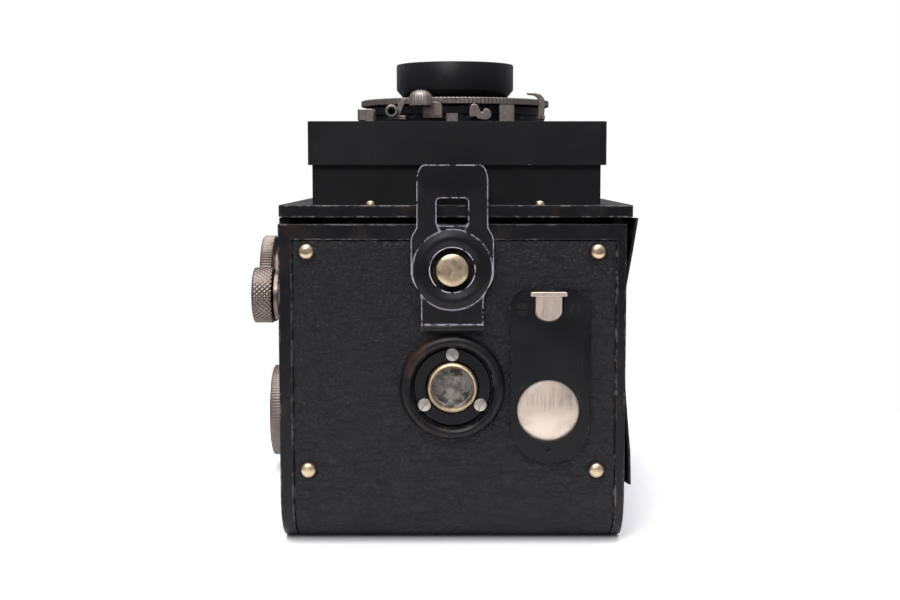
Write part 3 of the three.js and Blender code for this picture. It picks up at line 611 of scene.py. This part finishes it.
def make_latch():
    half = [(6.9, 49.9), (6.9, 56.2)] + [(6.9 + 2.3 * t * t * (3 - 2 * t), 56.2 + 5.6 * t) for t in (0.2,
        0.4, 0.6, 0.8, 1.0)]
    half += [(9.2, 69.2), (9.0, 70.4), (8.4, 71.4), (7.95, 72.2), (7.9, 74), (7.9, 82.5)]
    half += [(7.8, 83.7), (7.5, 84.7), (7.1, 85.5), (6.7, 85.9), (6.2, 86.05)]
    shape = half + [(-u, v) for u, v in reversed(half)]
    tongue = cut_sheet("latch_tongue", shape, CHIPPED, (0.3, 1.7), at=(0, BASE_Y, 0))
    at = (0, BASE_Y, BUTTON.z)
    boss = [(5.0, 0.9), (8.9, 0.9), (8.9, 1.6), (8.5, 1.85), (8.0, 2.12), (7.4, 2.32), (6.9, 2.38),
        (6.4, 2.3),
            (5.9, 2.1), (5.4, 1.85), (5.1, 1.65), (5.0, 1.5)]
    window = cut_sheet("cutter", rounded(-3.5, 3.5, 72.6, 78.7, 0.9, 0.9), WORN, (-1, 4),
        at=(0, BASE_Y, 0))
    press = turned("cutter", "OUT", at, [(0, -1), (4.95, -1), (4.95, 4), (0, 4)], WORN, 64)
    recess = cut_sheet("cutter", [(-2.4, 70.3), (2.4, 70.3), (3.6, 73.4), (-3.6, 73.4)], WORN, (1.15, 4),
        at=(0, BASE_Y, 0))
    carve(tongue, window, press, recess)
    soften(tongue, 0.3 * MM, 3, 35)
    dish = turned("latch_dish", "OUT", at, boss, ENAMEL, 96)
    knuckle = turned("latch_knuckle", "X", (0, BASE_Y - 1 * MM, 49.9 * MM),
                     [(0, -6.9), (0.8, -6.9), (0.95, -6.7), (0.95, 6.7), (0.8, 6.9), (0, 6.9)], WORN, 24)
    place(joined("latch_enamelled", tongue, dish, knuckle), "latch", "black_enamel", "latch")
    button = [(0, 1.5), (3.65, 1.5), (3.65, 2.05), (3.55, 2.25), (3.3, 2.4), (2.2, 2.52), (0, 2.58)]
    place(turned("latch_button_nickel", "OUT", at, button, WARM, 80), "latch_button", "warm_nickel",
        "latch_button")


# ---- Body ----
def make_body():
    refined("front_plate", WORN, "black_enamel", 0.45, "front_plate_enamelled")
    refined("inner_light_box", SATIN, "black_satin", 0.3)
    for node in ("side_wall_left", "side_wall_right", "top_plate", "hood_base"):
        refined(node, SATIN, "black_satin", 0.2)
    for node in ("bulkhead", "dark_chamber", "mirror_bracket"):
        refined(node, MATT, "black_satin", 0.1)
    refined("film_gate", SATIN, "film_track", 0.15)
    refined("mirror", MIRROR, "mirror", 0.1)
    refined("focusing_screen", SCREEN, "ground_glass", 0.2)
    refined("side_leather_left", LEATHER, "leather", 0.15)
    refined("side_leather_right", TORN, "leather", 0.12)
    for x in (-18.2, 19.5):
        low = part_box("front_plate")
        spot = (x * MM, low[0].y + 1.4 * MM, low[1].z)
        pin = [(0, -0.3), (1.0, -0.3), (1.0, 0.5), (0.8, 0.85), (0.4, 1.0), (0, 1.0)]
        place(turned(f"front_pin_{'left' if x < 0 else 'right'}", "Z", spot, pin, WARM, 24),
            "camera_body", "warm_nickel")
    bush = centre("feed_knob_bush")
    ring = [(2.4, 38.25), (5.6, 38.25), (5.6, 39.6), (5.35, 39.75), (5.35, 40.1), (5.6, 40.25),
        (5.6, 41.1), (5.4, 41.3), (2.4, 41.3)]
    place(turned("feed_knob_bush_nickel", "LEFT", (0, bush.y, bush.z), ring, NICKEL, 64), "camera_body",
        "nickel", "feed_knob_bush")
    pin = centre("door_hinge_pin")
    place(turned("door_hinge_pin_steel", "X", (0, pin.y, pin.z),
                 [(0, -37.9), (0.75, -37.9), (0.9, -37.6), (0.9, 37.6), (0.75, 37.9),
                     (0, 37.9)], NICKEL, 24), "camera_body", "nickel", "door_hinge_pin")
    roller = centre("film_roller")
    place(turned("film_roller_nickel", "X", (0, roller.y, roller.z),
                 [(0, -37), (1.3, -37), (1.3, -31), (2.9, -31), (3.2, -30.5), (3.2, 30.5), (2.9, 31),
                     (1.3, 31), (1.3, 37), (0, 37)],
                 NICKEL, 48), "film_roller", "nickel", "film_roller")


# ---- Lens standard ----
def make_lenses():
    refined("lens_panel", SATIN, "black_satin", 1.1, "lens_panel_lacquered")
    refined("focus_rack", NICKEL, "nickel", 0.05)
    at = (0, 0, 0)
    step = [(12.2, 95.95), (22.5, 95.95), (22.5, 97.4), (22.1, 97.6), (22.1, 98.0), (22.5, 98.2),
        (22.5, 99.9), (22.2, 100.25), (12.2, 100.25)]
    drum = turned("shutter_drum", "Z", at, step, ENAMEL, 128)
    stub = cut_sheet("shutter_stub", rounded(-23.8, -19, -11.5, -7.5, 0.6, 0.6), SHUTTER, (96.8, 99.7),
        "Z")
    lugs = [cut_sheet("shutter_lug", rounded(x, x + w, -reach, -20, 0.3, 0.3), SHUTTER, (96.0, h), "Z")
            for x, w, h, reach in ((10.4, 3.6, 100.2, 23.3), (-21.2, 2.2, 98.6, 23.3),
                (-2.2, 3.0, 98.2, 22.7))]
    soften(stub, 0.2 * MM)
    place_on_axis(joined("shutter_housing_finished", drum, stub, *lugs), "lens_carriage", "black_enamel",
        "shutter_housing")

    def milled(angle, radius, distance):
        return radius - 0.16 * (0.5 + 0.5 * math.cos(angle * 150)) if radius > 23.4 else radius

    ring = [(15, 100.4), (23.1, 100.4), (23.55, 100.55), (23.55, 101.8), (23.2, 102), (22.3, 102),
        (22.2, 101.9), (15.2, 101.9), (15, 101.8)]
    place_on_axis(turned("speed_ring_milled", "Z", at, ring, SHUTTER, 900, milled), "speed_ring",
        "nickel", "speed_ring")

    rim = [(10.6, 96.6), (11.6, 96.6), (11.6, 102.3), (12.6, 102.3), (13.2, 103.0), (14.2, 104.2),
        (14.6, 104.7), (14.65, 105.0),
           (14.65, 110.7), (14.5, 110.95), (14.3, 111), (12.6, 111), (12.3, 110.8)]
    rim += [(12.3 - 0.1 * (k % 2), 110.4 - 0.3 * k) for k in range(12)]
    rim += [(12.2, 106.8), (11.2, 106.5), (10.6, 106.0)]
    place_on_axis(turned("taking_lens_ring_black", "Z", at, rim, ENAMEL, 128), "lens_carriage",
        "black_enamel", "taking_lens_ring")
    place_on_axis(turned("rear_lens_cell_black", "Z", at, [(10.9, 84.5), (12.3, 84.5), (12.6, 84.8),
        (12.6, 94.3), (10.9, 94.3)], ENAMEL, 96),
          "lens_carriage", "black_enamel", "rear_lens_cell")
    barrel = [(11.6, 88), (12.5, 88), (12.5, 96), (14.0, 96), (14.2, 96.2), (14.2, 104.5), (14.0, 104.8),
        (12.9, 104.8), (12.7, 104.6),
              (12.7, 102.5), (12.5, 101.4), (12.5, 96), (11.6, 95.2)]
    place_on_axis(turned("viewing_lens_barrel_black", "Z", (0, 42 * MM, 0), barrel, ENAMEL, 128),
        "lens_carriage", "black_enamel", "viewing_lens_barrel")

    def element(name, y, radius, low, high, bulge):
        steps = [i / 8 for i in range(9)]
        face = [(radius * t, low + bulge * t * t) for t in steps]
        back = [(radius * t, high - bulge * t * t) for t in reversed(steps)]
        return turned(name, "Z", (0, y, 0), face + back, GLASS, 64)

    place_on_axis(element("front_lens_glass", 0, 10.3, 102.6, 105.8, 1.3), "lens_carriage", "glass",
        "front_lens_element")
    place_on_axis(element("rear_lens_glass", 0, 10.6, 85.6, 88.2, 0.9), "lens_carriage", "glass",
        "rear_lens_element")
    place_on_axis(element("viewing_lens_glass", 42 * MM, 12.4, 96.8, 101, 1.6), "lens_carriage", "glass",
        "viewing_lens_element")
    make_controls()


def make_controls():
    """The small levers and sockets in front of the shutter."""
    front = -23.6
    socket = turned("socket_tube", "OUT", (-14.8 * MM, -24.2 * MM, 98.5 * MM),
                    [(0.8, -0.6), (1.5, -0.6), (1.5, 2.6), (1.35, 3.2), (1.5, 3.4), (1.5, 3.8),
                        (1.3, 4.0), (0.9, 4.0), (0.8, 3.8)], SHUTTER, 40)
    bottom = turned("socket_bottom", "OUT", (-14.8 * MM, -24.2 * MM, 98.5 * MM),
        [(0, 0), (0.82, 0), (0.82, 0.6), (0, 0.6)], MATT, 24)
    arm = cut_sheet("socket_arm", [(-15.6, -24.8), (-11.6, -24.8), (-11.6, -20.6), (-14.0, -19.6),
        (-15.6, -19.6)], SHUTTER, (96.6, 97.6), "Z")
    tail = cut_sheet("socket_tail", [(-14.2, 97.6), (-13.0, 97.6), (-12.2, 99.6), (-11.4, 101.4),
        (-12.2, 101.7), (-13.4, 100.2)], SHUTTER,
                     (0, 0.6), at=(0, -24.0 * MM, 0))
    for bar in (arm, tail):
        soften(bar, 0.12 * MM)
    place_on_axis(joined("cable_release_socket_nickel", socket, bottom, arm, tail), "lens_carriage",
        "nickel", "cable_release_socket")

    boot = [(3.3, 98.4)] + arc(4.5, 99.2, 1.15, 180, 10, 8) + [(6.0, 98.5), (6.4, 98.4)] + arc(7.2, 97.9,
        1.35, 100, -90, 10)
    boot += [(5.4, 96.8), (4.8, 97.4), (3.6, 97.2), (3.3, 97.6)]
    index = cut_sheet("index_plate_nickel", boot, SHUTTER, (0, 0.9), at=(0, front * MM, 0))
    place_on_axis(soften(index, 0.14 * MM), "lens_carriage", "nickel", "index_plate")

    plate = cut_sheet("lever_plate", rounded(-7.5, -3, 96.9, 100.7, 0.4, 1.2), SHUTTER, (0, 0.8),
        at=(0, -25.3 * MM, 0))
    foot = cut_sheet("lever_foot", rounded(-7.5, -3, -26.1, -22.8, 0.3, 0.3), SHUTTER, (96.9, 97.8), "Z")

    def knurl(angle, radius, distance):
        return radius - 0.14 * (0.5 + 0.5 * math.cos(angle * 26)) if radius > 2.5 else radius

    cap = [(0, 99.6), (2.4, 99.6), (2.7, 99.8), (2.7, 101.9), (2.45, 102.3), (1.9, 102.9), (1.0, 103.3),
        (0, 103.4)]
    knob = turned("lever_cap", "Z", (-8 * MM, -27.6 * MM, 0), cap, SHUTTER, 208, knurl)
    for bar in (plate, foot):
        soften(bar, 0.12 * MM)
    place_on_axis(joined("aperture_lever_nickel", plate, foot, knob), "aperture_lever", "nickel",
        "aperture_lever")

    blade = [(19.5, 96.7), (20.7, 96.7), (21.1, 98.6), (21.2, 100.6), (20.9, 101.8), (20.1, 102.6),
        (18.8, 102.95), (16.9, 103),
             (17.0, 102.5), (18.6, 102.3), (19.4, 101.7), (19.7, 100.4), (19.6, 98.6)]
    lever = cut_sheet("lever_blade", blade, SHUTTER, (0, 0.8), at=(0, -22.4 * MM, 0))
    post = cut_sheet("lever_post", rounded(19.5, 21.2, -23.2, -18.6, 0.3, 0.3), SHUTTER, (96.7, 97.7),
        "Z")
    for bar in (lever, post):
        soften(bar, 0.14 * MM)
    place_on_axis(joined("release_lever_nickel", lever, post), "release_lever", "nickel", "release_lever")


# ---- Knobs ----
def make_knobs():
    feed = centre("feed_spool_knob")
    focus = centre("focus_knob")
    wind = centre("winding_knob")

    def diamonds(angle, radius, distance):
        if radius < 6.4:
            return radius
        a = math.cos(36 * angle + distance * 5.4)
        b = math.cos(36 * angle - distance * 5.4)
        return radius - 0.22 * (1 - max(a, b) * 0.5 - 0.5 * (0.5 + 0.5 * a * b))

    rows = [(6.5, 41.9 + 3.95 * i / 22) for i in range(23)]
    knob = [(0, 30.5), (1.6, 30.5), (2, 30.9), (2, 41.5), (6.0, 41.5), (6.3, 41.65), *rows, (6.2, 46.05),
        (5.9, 46.15), (4.8, 46.15), (4.6, 45.9), (0, 45.9)]
    place(turned("feed_spool_knob_knurled", "LEFT", (0, feed.y, feed.z), knob, NICKEL, 432, diamonds),
        "feed_spool_knob", "nickel", "feed_spool_knob")

    def straight(count, depth, least):
        return lambda angle, radius, distance: (
            radius - depth * (0.5 + 0.5 * math.cos(angle * count)) if radius > least else radius)

    wheel = [(0, 39.3), (7.2, 39.3), (7.4, 39.6), (7.4, 44.7), (10.6, 44.7), (10.95, 45.0),
             (10.95, 47.6), (10.6, 47.9), (9.8, 48.0), (9.4, 47.7), (0, 47.6)]
    place(turned("focus_knob_knurled", "LEFT", (0, focus.y, focus.z), wheel, NICKEL, 600,
        straight(100, 0.2, 10.9)), "focus_knob", "nickel", "focus_knob")
    refined("focus_pinion_shaft", NICKEL, "nickel", 0.05)
    crown = [(0, 39.3), (7.8, 39.3), (8, 39.6), (8, 43.5), (12.5, 43.5), (12.9, 43.9),
             (12.9, 50.6), (12.6, 51.0), (12.2, 51.1), (11.2, 51.0), (10.8, 50.6), (0, 50.6)]
    place(turned("winding_knob_knurled", "LEFT", (0, wind.y, wind.z), crown, NICKEL, 600,
        straight(100, 0.12, 12.85)), "winding_knob", "nickel", "winding_knob")
    refined("winding_shaft", NICKEL, "nickel", 0.15)
    refined("takeup_spool", SATIN, "spool", 0.1)
    pull = [(0, 31.9), (1.6, 31.9), (1.9, 32.2), (1.9, 39.3), (4.2, 39.3), (4.45, 39.5), (4.45, 40.4),
            (4.1, 40.7), (0, 40.8)]
    place(turned("takeup_spool_knob_milled", "X", (0, wind.y, wind.z), pull, NICKEL, 240,
        straight(40, 0.12, 4.4)), "takeup_spool_knob", "nickel", "takeup_spool_knob")


def make_hood():
    refined("hood_lid", SATIN, "black_satin", 0.4)
    for node in ("hood_wing_left", "hood_wing_right", "hood_rear_panel"):
        refined(node, SATIN, "black_satin", 0.12)
    at = (0, 0, 34 * MM)
    place(turned("magnifier_frame_black", "Y", at, [(11, 82.8), (12.7, 82.8), (13, 83.1), (13, 86.2),
        (11, 86.2)], SATIN, 96), "hood_lid", "black_satin", "magnifier_frame")
    glass = [(0, 83), (5, 83.25), (10.7, 84.2), (10.7, 85), (5, 85.8), (0, 86)]
    place(turned("magnifier_glass", "Y", at, glass, GLASS, 64), "hood_lid", "glass", "magnifier_lens")


# ---- Studio ----
def area_light(name, at, aim, size, power):
    light = bpy.data.lights.new(name, "AREA")
    light.energy = power
    light.shape = "RECTANGLE"
    light.size, light.size_y = size
    obj = bpy.data.objects.new(name, light)
    obj.location = at
    obj.rotation_euler = (Vector(aim) - Vector(at)).to_track_quat("-Z", "Y").to_euler()
    bpy.context.scene.collection.objects.link(obj)


def make_sky():
    """White behind the camera's rays; for reflections, dark in front of the base and light above."""
    world = bpy.data.worlds.new("studio")
    world.use_nodes = True
    tree = world.node_tree
    background = tree.nodes["Background"]
    path = tree.nodes.new("ShaderNodeLightPath")
    coordinates = tree.nodes.new("ShaderNodeTexCoord")
    split = tree.nodes.new("ShaderNodeSeparateXYZ")
    tree.links.new(coordinates.outputs["Generated"], split.inputs["Vector"])
    ramp = tree.nodes.new("ShaderNodeValToRGB")
    ramp.color_ramp.elements[0].position = 0.35
    ramp.color_ramp.elements[0].color = (0.085, 0.080, 0.092, 1)
    ramp.color_ramp.elements[1].position = 0.95
    ramp.color_ramp.elements[1].color = (0.80, 0.78, 0.86, 1)
    lift = tree.nodes.new("ShaderNodeMath")
    lift.operation = "MULTIPLY_ADD"
    lift.inputs[1].default_value = 0.5
    lift.inputs[2].default_value = 0.5
    tree.links.new(split.outputs["Z"], lift.inputs[0])
    tree.links.new(lift.outputs[0], ramp.inputs["Fac"])
    pick = tree.nodes.new("ShaderNodeMix")
    pick.data_type = "RGBA"
    tree.links.new(path.outputs["Is Camera Ray"], pick.inputs["Factor"])
    tree.links.new(ramp.outputs["Color"], pick.inputs[6])
    pick.inputs[7].default_value = (1, 1, 1, 1)
    tree.links.new(pick.outputs[2], background.inputs["Color"])
    background.inputs["Strength"].default_value = 1.0
    bpy.context.scene.world = world


def make_studio():
    n = Nodes("pale_floor")
    n.set(Base_Color=n.mix(n.noise(8), (0.93, 0.93, 0.93), (0.95, 0.95, 0.95)),
        Roughness=n.ramp(n.noise(30), 0.3, 0.7, 0.8, 0.9))
    bm = bmesh.new()
    bmesh.ops.create_circle(bm, cap_ends=True, segments=64, radius=FLOOR_RADIUS)
    floor = new_piece("floor", bm, n.material)
    make_sky()
    lamp = bpy.data.lights.new("overhead", "SUN")
    lamp.energy = SUN_STRENGTH
    lamp.angle = math.radians(SUN_SPREAD)
    sun = bpy.data.objects.new("overhead", lamp)
    sun.rotation_euler = (math.radians(8), math.radians(-6), 0)
    bpy.context.scene.collection.objects.link(sun)
    area_light("front_box", (-0.25, -0.9, 0.75), (0, 0, 0.05), (0.35, 0.35), 5)
    bpy.context.scene.view_settings.view_transform = "Standard"

    camera = bpy.data.cameras.new("camera")
    camera.lens = CAMERA_LENS
    camera.shift_x = -0.0026
    view = bpy.data.objects.new("camera", camera)
    view.location = (0, BASE_Y - CAMERA_BACK, CAMERA_HEIGHT)
    view.rotation_euler = (math.radians(CAMERA_TILT), 0, 0)
    bpy.context.scene.collection.objects.link(view)
    bpy.context.scene.camera = view


make_door()
make_latch()
make_body()
make_lenses()
make_knobs()
make_hood()
make_studio()
